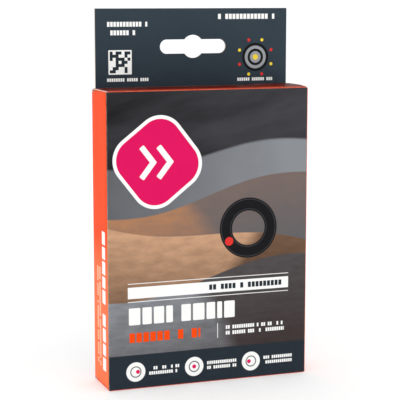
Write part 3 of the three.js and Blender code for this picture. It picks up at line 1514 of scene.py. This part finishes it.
@dataclass
class Sleeve:
    """The folded and glued tube: front, sides and back, with the front's end creases.

    Attributes:
        sizes: The carton's sizes.
        finishes: The carton's finishes.
        face_bow: How far the middle of the front and the back gives way.
        side_bow: How far the middle of a side gives way.
        face_reach: How far that is felt from the middle, as a share of the half width.
        side_reach: The same on a side, as a share of the half depth.
        face_middle: Share of the height that gives way most, on the front and the back.
        side_middle: The same on a side.
        cuts: How many cuts the walls get across, in depth and upwards, so that they can bow.
        corner_reach: Share of the crease's height that the upright creases run on past it.
        side_turn: How far a crease faces sideways, as a cosine, where the sides' print starts.
        front_turn: How far it faces forwards where the front's print starts.
        left_turn: The same on the left crease.
        back_turn: How far it faces backwards where the back's print starts.
    """

    sizes: CartonSizes
    finishes: Finishes
    face_bow: float = 0.3 * MM
    side_bow: float = 0.15 * MM
    face_reach: float = 0.95
    side_reach: float = 0.9
    face_middle: float = 0.4
    side_middle: float = 0.8
    cuts: tuple[int, int, int] = (13, 3, 17)
    corner_reach: float = 0.55
    side_turn: float = 0.4
    front_turn: float = 0.9
    left_turn: float = 0.5
    back_turn: float = 0.7

    def build(self) -> Workpiece:
        """Models and dresses the sleeve.

        Returns:
            The finished piece.
        """
        sizes = self.sizes
        piece = Workpiece.block(
            "sleeve",
            (-sizes.half_width, sizes.front, sizes.side_low),
            (sizes.half_width, sizes.back, sizes.side_high),
        )
        piece.edit()
        piece.pick(Part.FACES, lambda centre, normal: abs(normal.z) > 0.9)
        bpy.ops.mesh.delete(type="FACE")
        piece.pick(Part.EDGES, lambda a, b: abs(a.z - b.z) > NEAR)
        bpy.ops.mesh.bevel(offset=sizes.crease, segments=CREASE_STEPS, affect="EDGES")
        self._turn_over_ends(piece)
        piece.weld()
        self._bow_walls(piece)
        piece.close()
        piece.thicken(sizes.board, self._dress(piece))
        piece.smooth()
        piece.ride(
            Body.CARTON, "front_print", "front_wall", "left_wall", "right_wall", "back_wall"
        )
        return piece

    def _on_edge(self, depth: float, level: float) -> Test:
        """A test for the flat edge of the front or the back at one level.

        Args:
            depth: Place of that wall along Y.
            level: Height of the edge.

        Returns:
            The test.
        """
        reach = self.sizes.half_width - self.sizes.crease + NEAR

        def on_line(end: Vector) -> bool:
            """Whether one end lies on it."""
            return abs(end.y - depth) < NEAR and abs(end.z - level) < NEAR and abs(end.x) < reach

        return lambda first, second: on_line(first) and on_line(second)

    def _round(self, way: int, level: float, corners_only: bool = False) -> Test:
        """A test for the edges of the front or the back, with its upright creases, at one level.

        Args:
            way: -1 for the front, 1 for the back.
            level: Height of the edges.
            corners_only: Whether the flat edge is left out.

        Returns:
            The test.
        """
        sizes = self.sizes
        hub = sizes.back - sizes.crease - NEAR
        corner = sizes.half_width - sizes.crease - NEAR

        def test(*ends: Vector) -> bool:
            """Whether both ends lie on those edges."""
            wanted = not corners_only or abs(ends[0].x + ends[1].x) >= 2 * corner
            return wanted and all(way * end.y > hub and abs(end.z - level) < NEAR for end in ends)

        return test

    def _turn_over_ends(self, piece: Workpiece) -> None:
        """Rolls the front over at both ends, and runs the back to its cut edges.

        Args:
            piece: The sleeve, open for editing.
        """
        sizes = self.sizes
        hub = sizes.front + sizes.crease
        for level, centre, end, turn in (
            (sizes.side_high, sizes.height - sizes.crease, sizes.height, 1),
            (sizes.side_low, sizes.crease, 0.0, -1),
        ):
            past = (end - centre) * self.corner_reach
            piece.pick(Part.EDGES, self._round(-1, level))
            piece.extend((0, 0, centre - level))
            piece.pick(Part.EDGES, self._on_edge(sizes.front, centre))
            piece.roll((0, hub, centre), (turn, 0, 0))
            piece.pick(Part.EDGES, self._round(-1, centre, corners_only=True))
            piece.extend((0, 0, past))
            piece.pick(Part.EDGES, self._round(1, level, corners_only=True))
            piece.extend((0, 0, centre - level + past))
            piece.pick(Part.EDGES, self._on_edge(sizes.back, level))
            piece.extend((0, 0, end - level))

    def _bow_walls(self, piece: Workpiece) -> None:
        """Lets each wall give way a little in its middle.

        Args:
            piece: The sleeve, open for editing.
        """
        sizes = self.sizes
        across, deep, upwards = self.cuts
        piece.slice(0, spread(-sizes.half_width, sizes.half_width, across))
        piece.slice(2, spread(0.0, sizes.height, upwards))
        piece.slice(1, spread(sizes.front, sizes.back, deep))
        for axis, wall, give, reach, share in (
            (1, sizes.front, self.face_bow, self.face_reach * sizes.half_width, self.face_middle),
            (1, sizes.back, -self.face_bow, self.face_reach * sizes.half_width, self.face_middle),
            (0, -sizes.half_width, self.side_bow, self.side_reach * sizes.back, self.side_middle),
            (0, sizes.half_width, -self.side_bow, self.side_reach * sizes.back, self.side_middle),
        ):
            move = Vector((0, 0, 0))
            move[axis] = give
            piece.bow(move, reach, self._in_middle(axis, wall, share))

    def _in_middle(self, axis: int, wall: float, share: float) -> Test:
        """A test for the points on a wall's upright middle line.

        Args:
            axis: 0 for a side, 1 for the front or the back.
            wall: Place of the wall along that axis.
            share: Share of the height that the points lie in.

        Returns:
            The test.
        """
        middle = self.sizes.height / 2

        def test(place: Vector, _: Vector) -> bool:
            """Whether a point lies there."""
            on_wall = abs(place[axis] - wall) < NEAR and abs(place[1 - axis]) < NEAR
            return on_wall and abs(place.z - middle) < share * middle

        return test

    def _dress(self, piece: Workpiece) -> int:
        """Gives each wall its print. The creases take the print of the sides and the ends, whose
        orange carries painted shade.

        Args:
            piece: The sleeve.

        Returns:
            How many prints there are.
        """
        looks = self.finishes
        printed = [looks.end, looks.front, looks.left, looks.right, looks.back]
        count = len(printed)
        piece.dress([*printed, *[looks.plain] * count, *[looks.edge] * count])
        piece.assign(2, lambda place, normal: normal.x < -self.side_turn)
        piece.assign(3, lambda place, normal: normal.x > self.side_turn)
        piece.assign(1, self._in_front)
        piece.assign(4, lambda place, normal: normal.y > self.back_turn)
        return count

    def _in_front(self, place: Vector, normal: Vector) -> bool:
        """Whether a face has the front's print, which runs on round the left crease."""
        on_left_crease = normal.x < -0.1
        return normal.y < (-self.left_turn if on_left_crease else -self.front_turn)


@dataclass
class Header:
    """The two-ply hang header with its euro slot.

    Attributes:
        sizes: The carton's sizes.
        finishes: The carton's finishes.
        slot_width: Width of the slot from end to end.
        slot_height: Height of the slot's arms.
        hole_radius: Radius of the round hole in the middle.
        slot_rise: How far the slot's middle is above the box.
        edge_round: Radius of the folded top edges, as a share of the header's thickness.
        arm_round: Radius of the arms' ends, as a share of half their height.
        edge_steps: Faces round a folded top edge.
        arm_steps: Faces round a quarter of an arm's end.
        hole_steps: Faces round the hole.
    """

    sizes: CartonSizes
    finishes: Finishes
    slot_width: float = 32.0 * MM
    slot_height: float = 6.5 * MM
    hole_radius: float = 5.3 * MM
    slot_rise: float = 18.2 * MM
    edge_round: float = 0.46
    arm_round: float = 0.98
    edge_steps: int = 5
    arm_steps: int = 12
    hole_steps: int = 64

    def build(self) -> Workpiece:
        """Models and dresses the header.

        Returns:
            The finished piece.
        """
        low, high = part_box("header")
        piece = Workpiece.block("hang_header", low, high)
        piece.edit()
        top = high[2]
        thickness = high[1] - low[1]
        piece.pick(
            Part.EDGES,
            lambda a, b: min(a.z, b.z) > top - NEAR and abs(a.x - b.x) > NEAR,
        )
        radius = self.edge_round * thickness
        bpy.ops.mesh.bevel(offset=radius, segments=self.edge_steps, affect="EDGES")
        piece.close()
        for cutter in self._cutters(low[1] - thickness, high[1] + thickness):
            piece.activate()
            cut = piece.obj.modifiers.new("slot", "BOOLEAN")
            cut.operation = "DIFFERENCE"
            cut.solver = "EXACT"
            cut.object = cutter.obj
            bpy.ops.object.modifier_apply(modifier=cut.name)
            bpy.data.objects.remove(cutter.obj)
        looks = self.finishes
        edge = CutEdge("header_edge", ply_line=(low[1] + high[1]) / 2 / MM).material()
        piece.dress([looks.header, edge, looks.back])
        side = high[0] - NEAR
        piece.assign(1, lambda place, normal: abs(place.x) > side or place.z < low[2] + NEAR)
        piece.assign(1, self._in_slot)
        piece.assign(2, lambda place, normal: normal.y > 0.9)
        piece.smooth()
        piece.ride(Body.CARTON, "header_print", "header")
        return piece

    def _in_slot(self, place: Vector, normal: Vector) -> bool:
        """Whether a face is on the slot's cut wall.

        Args:
            place: The face's middle.
            normal: The face's normal.

        Returns:
            True on the cut wall.
        """
        near = abs(place.x) < 0.6 * self.slot_width
        level = abs(place.z - self.sizes.height - self.slot_rise) < 2 * self.slot_height
        return near and level and abs(normal.y) < 0.5

    def _cutters(self, front: float, back: float) -> list[Workpiece]:
        """Makes the arms and the round hole, as solids to cut with.

        Args:
            front: Where they start along Y.
            back: Where they end.

        Returns:
            The two solids.
        """
        level = self.sizes.height + self.slot_rise
        half = self.slot_height / 2
        arms = Workpiece.block(
            "slot_arms",
            (-self.slot_width / 2, front, level - half),
            (self.slot_width / 2, back, level + half),
        )
        arms.edit()
        arms.pick(Part.EDGES, lambda a, b: abs(a.y - b.y) > NEAR)
        radius = self.arm_round * half
        bpy.ops.mesh.bevel(offset=radius, segments=self.arm_steps, affect="EDGES")
        arms.close()
        bpy.ops.object.select_all(action="DESELECT")
        bpy.ops.mesh.primitive_cylinder_add(
            vertices=self.hole_steps,
            radius=self.hole_radius,
            depth=back - front,
            location=(0, (front + back) / 2, level),
            rotation=(QUARTER, 0, 0),
        )
        bpy.ops.object.transform_apply(location=True, rotation=True, scale=True)
        return [arms, Workpiece("slot_hole")]


@dataclass
class TuckEnd:
    """One tuck end: its panel, its tuck flap and its two dust flaps.

    Attributes:
        sizes: The carton's sizes.
        finishes: The carton's finishes.
        upside_down: Whether the end is turned over to close the bottom.
        crown: How far the lid's middle stands up.
        lift: How far the lid stands up at the back on the right.
        crown_reach: How far the crown is felt, as a share of the half depth.
        crown_width: Share of the half width that it takes.
        lift_reach: How far the lift is felt.
        lift_start: Share of the half width from which the lid stands up.
        cuts: How many cuts the panel gets across and in depth, so that it can bow.
        tuck_corner: Radius of the tuck flap's corners.
        tuck_steps: Faces round one of them.
        dust_corner: Radius of a dust flap's corners.
        dust_steps: Faces round one of them.
        dust_taper: Width of a dust flap's free end as a share of its root.
    """

    sizes: CartonSizes
    finishes: Finishes
    upside_down: bool = False
    crown: float = 0.3 * MM
    lift: float = 0.45 * MM
    crown_reach: float = 0.85
    crown_width: float = 0.75
    lift_reach: float = 6.5 * MM
    lift_start: float = 0.5
    cuts: tuple[int, int] = (15, 5)
    tuck_corner: float = 5.0 * MM
    tuck_steps: int = 8
    dust_corner: float = 1.6 * MM
    dust_steps: int = 5
    dust_taper: float = 0.7

    def build(self) -> list[Workpiece]:
        """Models and dresses the end.

        Returns:
            The finished pieces.
        """
        looks = self.finishes
        end = "bottom" if self.upside_down else "top"
        panel = "bottom_panel" if self.upside_down else "top_lid"
        # The bottom's cut edges take the deep orange of ink and painted shade.
        edge = looks.inked_edge if self.upside_down else looks.edge
        pieces = [
            self._finish(self._panel, panel, Body.LID, looks.end, edge),
            self._finish(self._tuck_flap, f"{end}_tuck_flap", Body.TUCK, looks.end, edge),
        ]
        for side in (-1, 1):
            hand = "left" if (side < 0) != self.upside_down else "right"
            name = f"{end}_dust_flap_{hand}"
            make = partial(self._dust_flap, side=side)
            pieces.append(self._finish(make, name, Body.CARTON, looks.orange, edge))
        return pieces

    def _finish(
        self,
        make: Callable[[str], Workpiece],
        name: str,
        body: Body,
        printed: Material,
        edge: Material,
    ) -> Workpiece:
        """Makes one piece, gives it its thickness and its looks, and puts it on its body.

        Args:
            make: Models the printed face.
            name: The node that the piece replaces.
            body: The body that it moves with at the top. At the bottom it stays with the carton.
            printed: Its printed finish.
            edge: The finish of its cut edges.

        Returns:
            The finished piece.
        """
        piece = make(f"printed_{name}")
        piece.dress([printed, self.finishes.plain, edge])
        piece.thicken(self.sizes.board, 1)
        if self.upside_down:
            self._turn_over(piece)
            body = Body.CARTON
        piece.smooth()
        piece.ride(body, "side_print", name)
        return piece

    def _turn_over(self, piece: Workpiece) -> None:
        """Turns a piece of the top end over to the bottom.

        Args:
            piece: The piece.
        """
        piece.activate()
        bpy.ops.transform.rotate(
            value=math.pi, orient_axis="Y", center_override=(0, 0, self.sizes.height / 2)
        )
        bpy.ops.object.transform_apply(location=True, rotation=True, scale=True)

    def _panel(self, name: str) -> Workpiece:
        """Models the end panel, with the crease that its tuck flap hangs from.

        Args:
            name: Name of the finished piece.

        Returns:
            The panel's printed face.
        """
        sizes = self.sizes
        low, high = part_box("top_lid")
        rear = high[1] - sizes.crease
        piece = Workpiece.sheet(
            name,
            (0, (low[1] + rear) / 2, sizes.height),
            (high[0] - low[0], rear - low[1]),
        )
        piece.edit()
        piece.pick(Part.EDGES, lambda a, b: min(a.y, b.y) > rear - NEAR)
        piece.roll((0, rear, sizes.height - sizes.crease), (1, 0, 0))
        piece.weld()
        across, deep = self.cuts
        piece.slice(0, spread(low[0], high[0], across))
        piece.slice(1, spread(low[1], rear, deep))
        if not self.upside_down:
            middle, width = (low[1] + rear) / 2, self.crown_width * high[0]
            piece.bow(
                Vector((0, 0, self.crown)),
                self.crown_reach * sizes.back,
                lambda place, _: abs(place.y - middle) < NEAR and abs(place.x) < width,
            )
            past, start = low[1] + self.lift_reach, self.lift_start * high[0]
            piece.bow(
                Vector((0, 0, self.lift)),
                self.lift_reach,
                lambda place, _: place.y > past and place.x > start,
            )
        piece.close()
        return piece

    def _tuck_flap(self, name: str) -> Workpiece:
        """Models the flap behind the lid's crease, with round lower corners.

        Args:
            name: Name of the finished piece.

        Returns:
            The flap's printed face.
        """
        low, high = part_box("top_tuck_flap")
        piece = Workpiece.sheet(
            name,
            (0, high[1], (low[2] + high[2]) / 2),
            (high[0] - low[0], high[2] - low[2]),
            (-QUARTER, 0, 0),
        )
        piece.edit()
        piece.pick(Part.POINTS, lambda place, _: place.z < low[2] + NEAR)
        bpy.ops.mesh.bevel(
            offset=self.tuck_corner, segments=self.tuck_steps, affect="VERTICES"
        )
        piece.close()
        return piece

    def _dust_flap(self, name: str, side: int) -> Workpiece:
        """Models a flap folded in from a side wall, narrower at its free end.

        Args:
            name: Name of the finished piece.
            side: -1 for the left wall, 1 for the right.

        Returns:
            The flap's printed face.
        """
        sizes = self.sizes
        low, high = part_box("top_dust_flap_left")
        root = sizes.half_width - sizes.crease
        tip = -high[0]
        piece = Workpiece.sheet(
            name,
            (side * (root + tip) / 2, (low[1] + high[1]) / 2, high[2]),
            (root - tip, high[1] - low[1]),
        )
        piece.edit()
        piece.pick(Part.POINTS, lambda place, _: abs(place.x) < tip + NEAR)
        bpy.ops.transform.resize(
            value=(1, self.dust_taper, 1), center_override=(0, (low[1] + high[1]) / 2, high[2])
        )
        bpy.ops.mesh.bevel(
            offset=self.dust_corner, segments=self.dust_steps, affect="VERTICES"
        )
        piece.pick(Part.EDGES, lambda a, b: min(abs(a.x), abs(b.x)) > root - NEAR)
        piece.roll((side * root, 0, high[2] - sizes.crease), (0, -side, 0))
        piece.weld()
        piece.close()
        return piece


def dress_glue_flap(finishes: Finishes) -> None:
    """Gives the inner strip of the seam its plain board.

    Args:
        finishes: The carton's finishes.
    """
    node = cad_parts["glue_flap"]
    node = bpy.data.objects[node] if isinstance(node, str) else node
    node.data.materials.clear()
    node.data.materials.append(finishes.plain)
    LOG.info("glue_flap: plain board")


@dataclass(frozen=True)
class Lamp:
    """One soft square light.

    Attributes:
        name: Name of the light.
        place: Where it hangs.
        size: Length of its sides.
        power: Its power in watts.
    """

    name: str
    place: Triple
    size: float
    power: float


@dataclass(frozen=True)
class Studio:
    """A pale floor that curves up behind, soft lights and the camera.

    Attributes:
        azimuth: Camera's turn about the upright axis, in degrees.
        elevation: Camera's height angle, in degrees.
        distance: From the camera to the front's base line.
        aim_right: How far the camera is moved to its right.
        aim_up: How far the camera is moved up.
        focal_pixels: Focal length in pixels of the frame.
        frame_pixels: Width of the frame.
        sensor: Width of the camera's sensor in millimetres.
        clip: Nearest and farthest distance that the camera sees.
        floor_radius: Radius of the level floor.
        floor_steps: Corners round the floor.
        cove: Radius of the curve between the floor and the wall.
        cove_steps: Faces up the curve.
        wall: Height of the wall above the curve.
        floor_cloud: Slow changes of the floor's tone.
        floor_tone: Its darkest and its palest tone.
        floor_roughness: How matt it is.
        glow: Strength of the floor's own light, which keeps the ground white.
        ambient: Strength of the surroundings' light.
        target: What the lamps face.
        lamps: The lamps.
    """

    azimuth: float = -19.9
    elevation: float = 8.4
    distance: float = 635.0 * MM
    aim_right: float = -4.4 * MM
    aim_up: float = 83.9 * MM
    focal_pixels: float = 1376.0
    frame_pixels: float = 400.0
    sensor: float = 36.0
    clip: Pair = (0.01, 50.0)
    floor_radius: float = 2.4
    floor_steps: int = 96
    cove: float = 1.2
    cove_steps: int = 10
    wall: float = 1.6
    floor_cloud: Grain = Grain(0.004, 2.0)
    floor_tone: Pair = (0.83, 0.87)
    floor_roughness: float = 0.9
    glow: float = 0.227
    ambient: float = 0.05
    target: Triple = (0.0, 0.0, 0.08)
    lamps: tuple[Lamp, ...] = (
        Lamp("key", (-0.75, -1.5, 0.4), 1.1, 5.5),
        Lamp("fill", (1.0, -1.3, 0.35), 1.0, 2.2),
        Lamp("side", (-1.5, -0.1, 0.3), 0.9, 3.6),
    )

    def camera(self) -> None:
        """Adds the camera at the photograph's angle."""
        turn, rise = math.radians(self.azimuth), math.radians(self.elevation)
        back = Vector(
            (math.sin(turn) * math.cos(rise), -math.cos(turn) * math.cos(rise), math.sin(rise))
        )
        right = Vector((math.cos(turn), math.sin(turn), 0))
        up = back.cross(right)
        place = self.distance * back + self.aim_right * right + self.aim_up * up
        place.y += CartonSizes.from_frame().front
        bpy.ops.object.camera_add()
        camera = bpy.context.object
        turned = Matrix((right, up, back)).transposed().to_4x4()
        camera.matrix_world = Matrix.Translation(place) @ turned
        camera.data.sensor_width = self.sensor
        camera.data.lens = self.focal_pixels / self.frame_pixels * self.sensor
        camera.data.clip_start, camera.data.clip_end = self.clip
        bpy.context.scene.camera = camera

    def floor(self) -> None:
        """Adds a pale round floor that curves up into a wall all round."""
        bpy.ops.object.select_all(action="DESELECT")
        bpy.ops.mesh.primitive_circle_add(
            vertices=self.floor_steps, radius=self.floor_radius, fill_type="NGON"
        )
        piece = Workpiece("floor")
        piece.edit()
        piece.pick(Part.EDGES, lambda a, b: True)
        radius, turn = self.floor_radius, QUARTER / self.cove_steps
        for step in range(self.cove_steps):
            angle = turn * (step + 1)
            reach = self.floor_radius + self.cove * math.sin(angle)
            piece.extend((0, 0, self.cove * (math.cos(angle - turn) - math.cos(angle))))
            wider = reach / radius
            bpy.ops.transform.resize(value=(wider, wider, 1), center_override=(0, 0, 0))
            radius = reach
        piece.extend((0, 0, self.wall))
        piece.close()
        graph = Graph("pale_floor")
        tone = graph.vary(graph.noise(graph.place, self.floor_cloud), *self.floor_tone)
        pale = graph.finish(
            colour=graph.join(tone, tone, tone),
            roughness=self.floor_roughness,
            light=PURE_WHITE,
            glow=self.glow,
        )
        piece.dress([pale])
        piece.smooth(60)

    def lights(self) -> None:
        """Adds the lamps and the pale surroundings."""
        for lamp in self.lamps:
            bpy.ops.object.light_add(type="AREA", location=lamp.place)
            light = bpy.context.object
            light.name = lamp.name
            light.data.size = lamp.size
            light.data.energy = lamp.power
            aim = Vector(self.target) - Vector(lamp.place)
            light.rotation_euler = aim.to_track_quat("-Z", "Y").to_euler()
        world = bpy.data.worlds.new("studio")
        world.use_nodes = True
        background = world.node_tree.nodes["Background"]
        background.inputs[0].default_value = PURE_WHITE
        background.inputs[1].default_value = self.ambient
        bpy.context.scene.world = world
        bpy.context.scene.view_settings.view_transform = "Standard"


def main() -> None:
    """Builds the studio and the carton, piece by piece."""
    logging.basicConfig(level=logging.INFO, format="%(name)s: %(message)s")
    studio = Studio()
    studio.camera()
    sizes = CartonSizes.from_frame()
    finishes = Finishes()
    Sleeve(sizes, finishes).build()
    Header(sizes, finishes).build()
    TuckEnd(sizes, finishes).build()
    TuckEnd(sizes, finishes, upside_down=True).build()
    dress_glue_flap(finishes)
    studio.floor()
    studio.lights()


if __name__ == "__main__":
    main()
